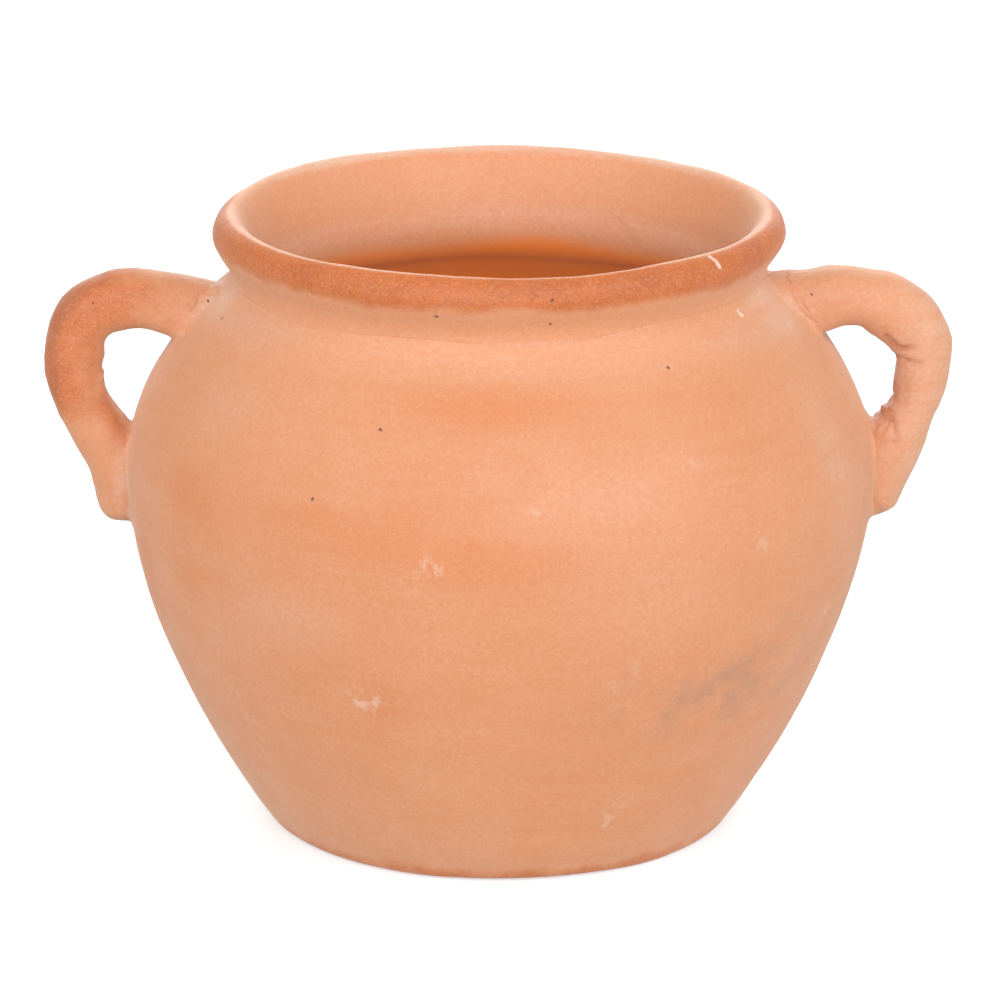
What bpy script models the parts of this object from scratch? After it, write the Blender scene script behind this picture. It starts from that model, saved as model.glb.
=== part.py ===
"""Terracotta pot with two handles: a thrown belly, a rolled rim set on its shoulder, two pulled handles and
the bands of soft clay that lute each handle end to the wall. Units are metres, Z is up, and the origin is at
the middle of the base. The handles lie on the X axis."""

import math

import bmesh
import bpy
from mathutils import Vector

# Driving dimensions.
SEAM_HEIGHT = 0.1600
WALL = 0.0085
FLOOR = 0.0100
FLOOR_EDGE = (0.0570, FLOOR)
FLOOR_BEND = (0.0650, 0.0140)
THROAT_BEND = (0.0755, 0.1495)
THROAT_EDGE = (0.0675, 0.1535)
DRAIN_RADIUS = 0.0060
GAP = 0.0003
STEPS = 56

# Outside of the belly from the foot up to the seam, as (radius, height).
BELLY = [
    (0.0625, 0.0000),
    (0.0668, 0.0014),
    (0.0694, 0.0052),
    (0.0730, 0.0110),
    (0.0830, 0.0280),
    (0.0932, 0.0485),
    (0.1010, 0.0695),
    (0.1055, 0.0900),
    (0.1062, 0.1100),
    (0.0995, 0.1305),
    (0.0885, 0.1480),
    (0.0790, 0.1570),
    (0.0758, SEAM_HEIGHT),
]
# The collar above the seam: up the outside, over the roll, and down the inside, as (radius, height).
COLLAR = [
    (0.0760, SEAM_HEIGHT + GAP),
    (0.0772, 0.1625),
    (0.0792, 0.1660),
    (0.0808, 0.1695),
    (0.0814, 0.1730),
    (0.0802, 0.1768),
    (0.0768, 0.1790),
    (0.0728, 0.1772),
    (0.0703, 0.1725),
    (0.0686, 0.1660),
    (0.0677, SEAM_HEIGHT + GAP),
]
COLLAR_CREST = 6

# Middle line of each handle from the neck down, as (distance from the axis, height, half thickness).
LEFT_ARCH = [
    (0.0700, 0.1485, 0.0085),
    (0.0840, 0.1497, 0.0086),
    (0.0965, 0.1522, 0.0085),
    (0.1090, 0.1528, 0.0084),
    (0.1187, 0.1464, 0.0084),
    (0.1222, 0.1350, 0.0080),
    (0.1196, 0.1235, 0.0076),
    (0.1136, 0.1115, 0.0080),
    (0.1082, 0.1000, 0.0082),
    (0.1070, 0.0920, 0.0074),
    (0.1068, 0.0895, 0.0058),
]
RIGHT_ARCH = [
    (0.0700, 0.1505, 0.0085),
    (0.0840, 0.1518, 0.0088),
    (0.0965, 0.1536, 0.0087),
    (0.1090, 0.1523, 0.0088),
    (0.1186, 0.1438, 0.0092),
    (0.1210, 0.1330, 0.0083),
    (0.1184, 0.1230, 0.0074),
    (0.1146, 0.1150, 0.0078),
    (0.1102, 0.1045, 0.0084),
    (0.1068, 0.0940, 0.0074),
    (0.1060, 0.0905, 0.0056),
]
HANDLE_WIDENING = 1.25
PRESSED_WIDENING = 1.65
PRESSED_FROM = 0.1150
PRESSED_TO = 0.0950
BAND_RADIUS = 0.0026
BAND_SLIMMING = 0.25
JOINT_STEPS = 24
UPPER_JOINT_HEIGHT = 0.1500
LOWER_JOINT_HEIGHT = 0.1020
WALKING_STEP = 0.0002

BODY_COLOUR = (0.80, 0.42, 0.22)
COLLAR_COLOUR = (0.76, 0.36, 0.17)
HANDLE_COLOUR = (0.78, 0.37, 0.18)
BAND_COLOUR = (0.83, 0.50, 0.31)


def clay(name, colour):
    material = bpy.data.materials.new(name)
    material.use_nodes = True
    shader = material.node_tree.nodes["Principled BSDF"]
    shader.inputs["Base Color"].default_value = (*colour, 1.0)
    shader.inputs["Roughness"].default_value = 0.9
    shader.inputs["Metallic"].default_value = 0.0
    return material


def smooth(points, steps):
    """Points on the smooth line through the given ones, with steps pieces between each two."""
    points = [Vector(point) for point in points]
    ends = [2 * points[0] - points[1], *points, 2 * points[-1] - points[-2]]
    line = []
    for before, start, end, after in zip(ends, ends[1:], ends[2:], ends[3:]):
        for step in range(steps):
            t = step / steps
            slope = 0.5 * (end - before)
            bend = before - 2.5 * start + 2 * end - 0.5 * after
            turn = 1.5 * (start - end) + 0.5 * (after - before)
            line.append(start + t * slope + t * t * bend + t * t * t * turn)
    return [*line, points[-1]]


def moved_out(outline, distance):
    """The outline moved to the right of its direction of travel."""
    moved = []
    for index, point in enumerate(outline):
        along = outline[min(index + 1, len(outline) - 1)] - outline[max(index - 1, 0)]
        moved.append(point + distance * Vector((along.y, -along.x)).normalized())
    return moved


def belly_outline():
    """Down the outside, across the base to the drain hole, over the floor and up the inside."""
    outside = smooth(BELLY, 2)
    inside = moved_out(outside, -WALL)
    wall = [point for point in inside if FLOOR_BEND[1] + WALL / 2 < point.y < THROAT_EDGE[1] - WALL]
    floor = smooth([FLOOR_EDGE, FLOOR_BEND, wall[0]], 2)
    throat = smooth([wall[-1], THROAT_BEND, THROAT_EDGE], 2)
    drain = [Vector((DRAIN_RADIUS, 0.0)), Vector((DRAIN_RADIUS, FLOOR))]
    top = Vector((THROAT_EDGE[0], SEAM_HEIGHT))
    return [*reversed(outside), *drain, *floor, *wall[1:], *throat[1:], top]


def pot_outside():
    """The whole outside from the foot to the crest of the roll, moved out by the joint gap."""
    outline = smooth(BELLY, 2)[:-1] + smooth(COLLAR[: COLLAR_CREST + 1], 2)
    return moved_out(outline, GAP)


def add_piece(collection, name, mesh, material=None):
    piece = bpy.data.objects.new(name, mesh)
    collection.objects.link(piece)
    if material:
        mesh.materials.append(material)
    return piece


def turned(collection, name, outline, closed, material=None):
    """A solid turned about Z from an outline that runs down its outer side."""
    edges = [(index, index + 1) for index in range(len(outline) - 1)]
    if closed:
        edges.append((len(outline) - 1, 0))
    mesh = bpy.data.meshes.new(name)
    mesh.from_pydata([(point.x, 0.0, point.y) for point in outline], edges, [])
    piece = add_piece(collection, name, mesh, material)
    screw = piece.modifiers.new("turn", "SCREW")
    screw.steps = STEPS
    screw.render_steps = STEPS
    screw.use_merge_vertices = True
    screw.merge_threshold = 0.00001
    screw.use_smooth_shade = True
    return piece


def tube_mesh(name, points, radii, cyclic):
    """The closed mesh of a tube along the points, made as a curve and its caps welded."""
    curve = bpy.data.curves.new(name, "CURVE")
    curve.dimensions = "3D"
    curve.bevel_depth = 1.0
    curve.bevel_resolution = 4
    curve.use_fill_caps = True
    curve.twist_mode = "MINIMUM"
    spline = curve.splines.new("POLY")
    spline.points.add(len(points) - 1)
    spline.use_cyclic_u = cyclic
    for knot, point, radius in zip(spline.points, points, radii):
        knot.co = (*point, 1.0)
        knot.radius = radius
    guide = bpy.data.objects.new(name, curve)
    bpy.context.scene.collection.objects.link(guide)
    graph = bpy.context.evaluated_depsgraph_get()
    mesh = bpy.data.meshes.new_from_object(guide.evaluated_get(graph))
    bpy.data.objects.remove(guide)
    bpy.data.curves.remove(curve)
    shape = bmesh.new()
    shape.from_mesh(mesh)
    bmesh.ops.remove_doubles(shape, verts=shape.verts, dist=0.000001)
    bmesh.ops.recalc_face_normals(shape, faces=shape.faces)
    shape.to_mesh(mesh)
    shape.free()
    mesh.shade_smooth()
    return mesh


def widening(height):
    """How much wider than thick a handle is: its lower end is pressed out on the wall."""
    pressed = min(max((PRESSED_FROM - height) / (PRESSED_FROM - PRESSED_TO), 0.0), 1.0)
    return HANDLE_WIDENING + (PRESSED_WIDENING - HANDLE_WIDENING) * pressed


def handle_mesh(name, arch, side, grown):
    """A pulled handle along its arch, before its ends are trimmed to the wall."""
    line = smooth(arch, 3)
    points = [Vector((side * distance, 0.0, height)) for distance, height, _ in line]
    mesh = tube_mesh(name, points, [half + grown for _, _, half in line], False)
    for vertex in mesh.vertices:
        vertex.co.y *= widening(vertex.co.z)
    return mesh


def wall_radius(height):
    outline = smooth(BELLY, 4)
    for low, high in zip(outline, outline[1:]):
        if low.y <= height <= high.y:
            return low.x + (high.x - low.x) * (height - low.y) / (high.y - low.y)
    return outline[-1].x


def inside_handle(point, line):
    """Whether a point beside the wall is within the handle whose middle line is given."""
    flat = Vector((abs(point.x), point.z))
    across = point.y / widening(point.z)
    for distance, height, half in line:
        if (flat - Vector((distance, height))).length_squared + across * across < half * half:
            return True
    return False


def joint_line(arch, side, height):
    """Points on the wall round a handle's end, found by walking out from its middle until past the clay."""
    line = smooth(arch, 8)
    points = []
    for step in range(JOINT_STEPS):
        angle = 2 * math.pi * step / JOINT_STEPS
        reach = 0.0
        point = Vector((wall_radius(height), 0.0, height))
        while inside_handle(point, line):
            reach += WALKING_STEP
            across = reach * math.cos(angle)
            up = height + reach * math.sin(angle)
            point = Vector((math.sqrt(wall_radius(up) ** 2 - across**2), across, up))
        points.append(Vector((side * point.x, point.y, point.z)))
    return points


def band_mesh(name, arch, side, height):
    """The roll of clay pressed round a handle's end, slimmer below than above."""
    turns = [math.sin(2 * math.pi * step / JOINT_STEPS) for step in range(JOINT_STEPS)]
    radii = [BAND_RADIUS * (1 - BAND_SLIMMING * (1 - turn) / 2) for turn in turns]
    return tube_mesh(name, joint_line(arch, side, height), radii, True)


def cut_away(piece, cutter):
    boolean = piece.modifiers.new("cut by " + cutter.name, "BOOLEAN")
    boolean.operation = "DIFFERENCE"
    boolean.solver = "EXACT"
    boolean.object = cutter


def make_cutter(piece):
    piece.hide_render = True
    piece.display_type = "WIRE"
    return piece


def main():
    for old in list(bpy.data.objects):
        bpy.data.objects.remove(old)
    pot = bpy.data.collections.new("terracotta_pot")
    cutters = bpy.data.collections.new("cutters")
    bpy.context.scene.collection.children.link(pot)
    bpy.context.scene.collection.children.link(cutters)

    turned(pot, "body", belly_outline(), True, clay("body clay", BODY_COLOUR))
    collar = [*reversed(smooth(COLLAR, 2))]
    turned(pot, "neck_rim", collar, True, clay("rim clay", COLLAR_COLOUR))
    outside = [*reversed(pot_outside())]
    solid = [Vector((0.0, outside[0].y)), *outside, Vector((0.0, outside[-1].y))]
    outside_cutter = make_cutter(turned(cutters, "pot_outside", solid, False))

    handle_clay = clay("handle clay", HANDLE_COLOUR)
    band_clay = clay("luting clay", BAND_COLOUR)
    for name, arch, side in (("left", LEFT_ARCH, -1), ("right", RIGHT_ARCH, 1)):
        handle_name = "handle_" + name
        handle = add_piece(pot, handle_name, handle_mesh(handle_name, arch, side, 0.0), handle_clay)
        cut_away(handle, outside_cutter)
        grown = handle_mesh(handle_name + "_grown", arch, side, GAP)
        handle_cutter = make_cutter(add_piece(cutters, handle_name + "_grown", grown))
        for end, height in (("upper", UPPER_JOINT_HEIGHT), ("lower", LOWER_JOINT_HEIGHT)):
            band_name = f"luting_{name}_{end}"
            band = add_piece(pot, band_name, band_mesh(band_name, arch, side, height), band_clay)
            cut_away(band, outside_cutter)
            cut_away(band, handle_cutter)


main()
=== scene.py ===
"""Looks of the two-handled terracotta pot: finer hand-made shapes and fired-clay materials, built around its
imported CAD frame. Units are metres, Z is up, and the handles lie on the X axis."""

import math

import bpy
import numpy as np
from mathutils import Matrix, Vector


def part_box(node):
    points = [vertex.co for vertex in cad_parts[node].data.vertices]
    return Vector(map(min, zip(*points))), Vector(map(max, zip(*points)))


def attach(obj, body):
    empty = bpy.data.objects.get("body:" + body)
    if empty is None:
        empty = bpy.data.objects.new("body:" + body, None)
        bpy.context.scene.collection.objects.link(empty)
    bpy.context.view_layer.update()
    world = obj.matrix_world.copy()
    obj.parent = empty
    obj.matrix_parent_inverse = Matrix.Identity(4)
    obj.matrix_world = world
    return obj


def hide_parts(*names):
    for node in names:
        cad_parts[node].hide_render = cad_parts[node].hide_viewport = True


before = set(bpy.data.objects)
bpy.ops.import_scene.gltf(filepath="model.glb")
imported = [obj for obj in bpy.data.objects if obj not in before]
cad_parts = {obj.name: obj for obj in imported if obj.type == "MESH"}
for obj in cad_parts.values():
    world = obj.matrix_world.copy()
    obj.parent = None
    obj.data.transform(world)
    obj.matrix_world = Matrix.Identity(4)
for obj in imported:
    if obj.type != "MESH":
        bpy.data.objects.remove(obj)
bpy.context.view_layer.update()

MM = 0.001

# Sizes read from the frame.
BELLY_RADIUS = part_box("body")[1].y
SEAM_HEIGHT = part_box("body")[1].z
RIM_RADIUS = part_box("neck_rim")[1].y
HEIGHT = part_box("neck_rim")[1].z
COLLAR_HEIGHT = HEIGHT - SEAM_HEIGHT
WALL = 0.08 * BELLY_RADIUS
FLOOR = 0.0625 * SEAM_HEIGHT
DRAIN_RADIUS = 0.056 * BELLY_RADIUS
# How far each of two pieces runs on past their seam, and how far it dives under the other meanwhile.
TUCK = np.array([(0.4, 0.10), (1.2, 0.45), (2.4, 1.0)]) * MM

# Outside of the belly from the foot up: (share of the belly's radius, share of the seam's height).
BELLY_SHAPE = [
    (0.5790, 0.0000),
    (0.6220, 0.0090),
    (0.6493, 0.0330),
    (0.6851, 0.0688),
    (0.7790, 0.1750),
    (0.8747, 0.3031),
    (0.9479, 0.4344),
    (0.9901, 0.5625),
    (0.9975, 0.6875),
    (0.9345, 0.8156),
    (0.8300, 0.9230),
    (0.7700, 0.9640),
    (0.7330, 0.9850),
    (0.7135, 1.0000),
]
# The collar: up its outside, over the roll and down its inside:
# (share of the rim's radius, share of the collar's height).
COLLAR_SHAPE = [
    (0.9340, 0.00),
    (0.9390, 0.13),
    (0.9530, 0.27),
    (0.9767, 0.43),
    (0.9935, 0.57),
    (1.0000, 0.70),
    (0.9870, 0.87),
    (0.9620, 0.97),
    (0.9386, 1.00),
    (0.9115, 0.95),
    (0.8830, 0.80),
    (0.8620, 0.58),
    (0.8420, 0.30),
    (0.8317, 0.00),
]
# Which point of the collar's shape is the top of the roll, and the steps drawn between each two points.
COLLAR_CREST = 8
OUTLINE_STEPS = 12
# Inside of the belly, with the shares that BELLY_SHAPE uses.
THROAT_SHAPE = [
    (0.7420, 0.8950),
    (0.6980, 0.9150),
    (0.6650, 0.9350),
    (0.6450, 0.9560),
    (0.6370, 0.9750),
    (0.6354, 0.9875),
]
FLOOR_SHAPE = [(0.5350, 0.0625), (0.6100, 0.0875)]

# Each handle from the neck down: outer edge out, outer edge up, inner edge out, inner edge up, and half its
# width, in millimetres from the axis and from the base.
LEFT_HANDLE = [
    (72.0, 156.6, 86.0, 136.5, 10.5),
    (79.0, 157.2, 91.5, 139.8, 10.5),
    (89.5, 159.4, 96.1, 143.0, 10.3),
    (98.0, 160.9, 99.9, 144.4, 10.0),
    (105.1, 161.5, 104.3, 144.7, 9.8),
    (112.2, 160.4, 108.6, 143.8, 9.7),
    (119.9, 156.9, 111.6, 142.4, 9.7),
    (126.6, 150.3, 113.2, 140.0, 9.7),
    (130.2, 140.9, 113.4, 136.2, 9.6),
    (130.3, 131.9, 113.8, 131.5, 9.5),
    (125.0, 117.5, 110.6, 122.5, 9.7),
    (118.2, 105.0, 104.0, 114.0, 11.2),
    (116.2, 98.9, 101.5, 108.0, 12.2),
    (113.8, 89.9, 99.0, 99.0, 11.6),
    (106.8, 88.0, 97.0, 96.0, 8.6),
    (102.0, 90.5, 96.0, 96.0, 6.5),
]
RIGHT_HANDLE = [
    (70.0, 159.6, 84.0, 139.0, 10.5),
    (78.0, 160.5, 90.5, 142.3, 10.5),
    (88.1, 161.3, 96.8, 144.9, 10.3),
    (95.5, 162.3, 99.5, 145.5, 10.0),
    (103.3, 161.6, 102.6, 145.4, 9.8),
    (111.2, 160.4, 105.4, 143.2, 9.8),
    (118.2, 157.0, 108.7, 141.1, 9.8),
    (124.3, 151.6, 111.6, 138.4, 9.8),
    (128.0, 144.0, 113.2, 135.4, 9.6),
    (128.7, 136.4, 113.2, 132.2, 9.5),
    (126.5, 124.0, 112.2, 125.2, 9.4),
    (123.8, 118.1, 110.6, 122.0, 9.6),
    (119.9, 107.7, 104.5, 114.0, 11.4),
    (114.8, 95.5, 100.5, 103.0, 12.2),
    (112.2, 91.4, 99.5, 99.5, 11.4),
    (105.5, 89.0, 97.5, 96.5, 8.4),
    (101.5, 91.0, 96.5, 96.5, 6.5),
]


# ---- Curves and meshes ----


def curve(points, steps):
    """Points on the smooth line through the given ones, with steps pieces between each two."""
    points = np.array(points, float)
    ends = np.vstack([2 * points[0] - points[1], points, 2 * points[-1] - points[-2]])
    share = np.arange(steps)[:, None] / steps
    line = []
    for before, start, end, after in zip(ends, ends[1:], ends[2:], ends[3:]):
        bend = before - 2.5 * start + 2 * end - 0.5 * after
        turn = 1.5 * (start - end) + 0.5 * (after - before)
        line.append(start + share * 0.5 * (end - before) + share**2 * bend + share**3 * turn)
    return np.vstack([*line, points[-1:]])


def evenly(line, spacing):
    """The same line with its points evenly spaced."""
    travelled = np.r_[0, np.cumsum(np.linalg.norm(np.diff(line, axis=0), axis=1))]
    stops = np.linspace(0, travelled[-1], max(2, round(travelled[-1] / spacing) + 1))
    return np.stack([np.interp(stops, travelled, axis) for axis in line.T], axis=1)


def to_the_right(line, closed):
    """Unit normals to the right of a flat line's direction of travel."""
    if closed:
        along = np.roll(line, -1, axis=0) - np.roll(line, 1, axis=0)
    else:
        along = np.gradient(line, axis=0)
    along /= np.linalg.norm(along, axis=1)[:, None]
    return np.stack([along[:, 1], -along[:, 0]], axis=1)


def grid_mesh(name, points, close_rows):
    """A smooth mesh over a grid of points. Each row is closed into a ring. The last row joins the first, or
    else both are capped."""
    rows, columns = points.shape[:2]
    index = np.arange(rows * columns).reshape(rows, columns)
    lower = index if close_rows else index[:-1]
    upper = np.roll(index, -1, axis=0) if close_rows else index[1:]
    quads = np.stack([lower, np.roll(lower, -1, axis=1), np.roll(upper, -1, axis=1), upper], axis=-1)
    faces = quads.reshape(-1, 4).tolist()
    if not close_rows:
        faces += [index[0][::-1].tolist(), index[-1].tolist()]
    mesh = bpy.data.meshes.new(name)
    mesh.from_pydata(points.reshape(-1, 3), [], faces)
    if volume_sign(mesh) < 0:
        mesh.flip_normals()
    mesh.shade_smooth()
    piece = bpy.data.objects.new(name, mesh)
    bpy.context.scene.collection.objects.link(piece)
    return piece


def volume_sign(mesh):
    mesh.calc_loop_triangles()
    corners = np.empty(len(mesh.loop_triangles) * 3, np.int32)
    mesh.loop_triangles.foreach_get("vertices", corners)
    places = np.empty(len(mesh.vertices) * 3, np.float32)
    mesh.vertices.foreach_get("co", places)
    triangles = places.reshape(-1, 3)[corners.reshape(-1, 3)].astype(float)
    return np.linalg.det(triangles).sum()


def lumps(points, wavelength, seed, spread=0.35, waves=14):
    """Soft unevenness between about -1 and 1, the same for every piece that passes through a place."""
    chance = np.random.default_rng(seed)
    direction = chance.normal(size=(waves, 3))
    direction /= np.linalg.norm(direction, axis=1)[:, None]
    length = wavelength * (1 + spread * chance.uniform(-1, 1, waves))
    phase = chance.uniform(0, 2 * math.pi, waves)
    total = np.zeros(points.shape[:-1])
    for way, reach, start in zip(direction, length, phase):
        total += np.sin(2 * math.pi * (points @ way) / reach + start)
    return total / math.sqrt(waves)


def uneven(points, *waves):
    """Unevenness in metres. Each wave is its depth and its size in millimetres, and the seed of its lumps."""
    return sum(depth * MM * lumps(points, size * MM, seed) for depth, size, seed in waves)


def hump(distance, width):
    """1 at no distance, falling off to about a third at the width."""
    return np.exp(-((distance / width) ** 2))


def fade(value, start, end):
    """0 up to start, 1 from end, and smooth between them. start may be the larger."""
    share = np.clip((value - start) / (end - start), 0, 1)
    return share * share * (3 - 2 * share)


# ---- The thrown wall ----

FOOT_CLEARANCE = 0.4 * MM
# Unevenness of each surface, as uneven() takes it: broad swellings first.
WALL_WAVES = [(0.30, 70, 1), (0.06, 24, 2), (0.015, 8, 3)]
SEAM_WAVES = [(0.5, 55, 15)]
RING_WAVES = [(2, 60, 11)]
RIM_WAVES = [(0.012, 4, 23), (0.04, 16, 24)]
FLASH_EDGE_WAVES = [(0.5, 24, 26)]


def belly_line():
    """The belly's outside from the foot up to the seam."""
    return curve(np.array(BELLY_SHAPE) * (BELLY_RADIUS, SEAM_HEIGHT), OUTLINE_STEPS)


def collar_line():
    """The collar from the seam up its outside, over the roll and down its inside."""
    shape = np.array(COLLAR_SHAPE) * (RIM_RADIUS, COLLAR_HEIGHT)
    return curve(shape, OUTLINE_STEPS) + (0, SEAM_HEIGHT)


WALL_LINE = np.vstack([belly_line()[:-1], collar_line()[: OUTLINE_STEPS * COLLAR_CREST + 1]])
WALL_NORMALS = to_the_right(WALL_LINE, False)


def wall_radius(height):
    """Radius of the pot's outside at each height, up to the crest of the roll."""
    return np.interp(height, WALL_LINE[:, 1], WALL_LINE[:, 0])


def degrees_round(points):
    """Degrees about Z from the front, where -Y is, towards +X."""
    return np.degrees(np.arctan2(points[..., 0], -points[..., 1]))


def worked(points, normals):
    """Points on the wall after the potter's hands: broad swellings and smaller unevenness."""
    return points + uneven(points, *WALL_WAVES)[..., None] * normals


def wall_normals(points):
    """Unit normals of the wall before it was worked, at each point's height and direction."""
    out = np.interp(points[..., 2], WALL_LINE[:, 1], WALL_NORMALS[:, 0])
    up = np.interp(points[..., 2], WALL_LINE[:, 1], WALL_NORMALS[:, 1])
    radius = np.hypot(points[..., 0], points[..., 1])
    normals = np.stack([out * points[..., 0] / radius, out * points[..., 1] / radius, up], axis=-1)
    return normals / np.linalg.norm(normals, axis=-1)[..., None]


def on_wall(angle, height):
    """The worked outside of the pot at an angle about Z from +X, and its normal there."""
    radius = wall_radius(height)
    points = np.stack([radius * np.cos(angle), radius * np.sin(angle), height], axis=-1)
    normals = wall_normals(points)
    return worked(points, normals), normals


def turned(outline, columns):
    """A closed outline turned about Z: its points and normals, a row for each point, and the angles."""
    normals = to_the_right(outline, True)
    angle = np.linspace(0, 2 * math.pi, columns, endpoint=False)
    round_z = np.stack([np.cos(angle), np.sin(angle)], axis=1)

    def spun(flat):
        sides = flat[:, None, :1] * round_z[None]
        return np.concatenate([sides, np.repeat(flat[:, None, 1:], columns, axis=1)], axis=2)

    return spun(outline), spun(normals), angle


def tucked(line, side):
    """Where a line's end runs on past the seam and dives into the wall, to its left if side is 1."""
    onward = (line[-1] - line[-2]) / np.linalg.norm(line[-1] - line[-2])
    inward = side * np.array([-onward[1], onward[0]])
    return line[-1] + TUCK[:, :1] * onward + TUCK[:, 1:] * inward


# The seam rises on the right of the pot, and the wall near it follows as far as the reach.
SEAM_RISE = 2.2 * MM
SEAM_REACH = 4.5 * MM


def skin(outline, outer_rows, columns):
    """A turned outline whose outer rows follow the seam as it rises and falls, and that is then worked."""
    points, normals, angle = turned(outline, columns)
    degrees = degrees_round(points)
    rise = SEAM_RISE * fade(degrees, 14, 38) * fade(degrees, 150, 90) + uneven(points, *SEAM_WAVES)
    near_seam = hump(points[..., 2] - SEAM_HEIGHT, SEAM_REACH) * outer_rows[:, None]
    height = points[..., 2] + rise * near_seam
    radius = np.hypot(points[..., 0], points[..., 1])
    change = (wall_radius(height) - wall_radius(points[..., 2])) / radius
    points = points * (1 + change)[..., None]
    points[..., 2] = height
    normals = np.where(outer_rows[:, None, None], wall_normals(points), normals)
    return worked(points, normals), normals, angle


def round_pot(degrees, radius, height):
    """A place in millimetres, from degrees about Z from the front, a radius and a height."""
    turn = math.radians(degrees)
    return (radius * math.sin(turn), -radius * math.cos(turn), height)


def from_line(points, start, end):
    """Distance of each point from a short straight line whose ends are given in millimetres."""
    start, end = np.array(start) * MM, np.array(end) * MM
    offset = points - start
    share = np.clip(offset @ (end - start) / np.sum((end - start) ** 2), 0, 1)
    return np.linalg.norm(offset - share[..., None] * (end - start), axis=-1)


def pressed(points, normals, start, end, width, depth):
    """The points pressed in along a line, or raised where the depth is negative."""
    amount = depth * MM * hump(from_line(points, start, end), width * MM)
    return points - amount[..., None] * normals


# Marks of fingers: the two ends, as degrees, radius and height, then width and depth. First those inside the
# neck, then the collar's edge smeared up into a low ridge with a groove under it, to the right of the front.
NECK_SMEARS = [
    ((169, 69, 171), (176, 69, 173), 2.2, -0.35),
    ((146, 68, 161), (140, 68, 154), 1.4, -0.35),
    ((149, 68, 160), (144, 68, 153), 1.4, 0.25),
    ((-118, 72, 177), (-128, 70, 171), 2.4, 0.35),
    ((-60, 69, 172), (-40, 69, 166), 3.0, 0.3),
    ((70, 69, 170), (95, 69, 164), 3.0, 0.3),
]
COLLAR_SMEARS = [
    ((12.5, 80.2, 165.7), (22, 80.1, 165.3), 0.6, -0.35),
    ((12.5, 79.8, 164.7), (22, 79.7, 164.3), 0.6, 0.35),
]


# The drain hole's edge from the floor down to the foot: (out from its radius, up from the floor).
DRAIN_SHAPE = np.array([(0.3, -0.3), (0.0, -1.2), (-0.1, -5.0), (0.0, -8.4), (0.5, -9.4)]) * MM
# Where three of the stretches that body_lines() gives come in its list.
OUTSIDE, OUTSIDE_TUCK, INSIDE = 0, 1, 3
# How far apart the rings of points are.
OUTSIDE_SPACING, INSIDE_SPACING, UNDER_SPACING, RIM_SPACING = 1.5 * MM, 1.8 * MM, 5 * MM, 0.55 * MM


def body_lines():
    """The body's outline in stretches: outside, tuck, tuck, inside, drain hole and underside."""
    outside = evenly(belly_line(), OUTSIDE_SPACING)
    shape = (BELLY_RADIUS, SEAM_HEIGHT)
    throat = np.array(THROAT_SHAPE) * shape
    floor_edge = np.array(FLOOR_SHAPE) * shape
    inner = outside - WALL * to_the_right(outside, False)
    low, high = floor_edge[1, 1] + WALL / 2, throat[0, 1] - WALL / 3
    inner = inner[(inner[:, 1] > low) & (inner[:, 1] < high)][::6]
    neck = [(throat[-1, 0], SEAM_HEIGHT)]
    inside = curve(np.vstack([neck, throat[::-1], inner[::-1], floor_edge[::-1]]), 6)
    floor = np.array([(0.3 * floor_edge[0, 0], FLOOR), (DRAIN_RADIUS + 1.2 * MM, FLOOR)])
    inside = evenly(np.vstack([inside, floor]), INSIDE_SPACING)
    drain = DRAIN_SHAPE + (DRAIN_RADIUS, FLOOR)
    under = np.array([(DRAIN_RADIUS + 2 * MM, FOOT_CLEARANCE), (outside[0, 0] - 6 * MM, FOOT_CLEARANCE)])
    under = np.vstack([evenly(under, UNDER_SPACING), [outside[0] - (3 * MM, 0)]])
    return [outside, tucked(outside, 1), tucked(inside[::-1], -1)[::-1], inside, drain, under]


# The spiral of ridges that fingers leave inside, with the heights between which it fades out, and the faint
# one that a rib leaves outside.
FINGER_PITCH = 8.5 * MM
FINGER_DEPTH = 0.30 * MM
FINGER_FADE = (143 * MM, 125 * MM)
RIB_PITCH = 4.6 * MM
RIB_DEPTH = 0.035 * MM
BODY_COLUMNS = 360
# How strongly painted contact shade darkens the lowest part of the foot.
FOOT_CONTACT_SHADE = 0.8


def make_body():
    lines = body_lines()
    stretch = np.repeat(np.arange(len(lines)), [len(line) for line in lines])
    outside, inside = (stretch == OUTSIDE)[:, None], (stretch == INSIDE)[:, None]
    points, normals, angle = skin(np.vstack(lines), stretch <= OUTSIDE_TUCK, BODY_COLUMNS)

    travelled = np.cumsum(np.linalg.norm(np.diff(np.vstack(lines), axis=0, prepend=0), axis=1))
    turns = travelled[:, None] + uneven(points, *RING_WAVES)
    rings = FINGER_DEPTH * np.sin(2 * math.pi * turns / FINGER_PITCH + angle)
    rings *= fade(points[..., 2], *FINGER_FADE) * inside
    ribs = RIB_DEPTH * np.sin(2 * math.pi * turns / RIB_PITCH + angle) * lumps(points, 90 * MM, 12)
    ribs *= outside
    points = smeared(points + (rings + ribs)[..., None] * normals, normals, NECK_SMEARS)
    points[..., 2] = np.maximum(points[..., 2], 0)
    piece = grid_mesh("thrown_body", settled(points), close_rows=True)
    # Painted contact shade at the foot, kept in the layer it shares with kiln flashing.
    paint(piece, points, flash_and_shade=FOOT_CONTACT_SHADE * fade(points[..., 2], 10 * MM, 0) * outside)
    return piece


def smeared(points, normals, marks):
    for start, end, width, depth in marks:
        points = pressed(points, normals, round_pot(*start), round_pot(*end), width, depth)
    return points


RIM_COLUMNS = 480
# How proud of the belly the collar's smeared edge stands, on average.
COLLAR_STEP = 0.10 * MM


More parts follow.
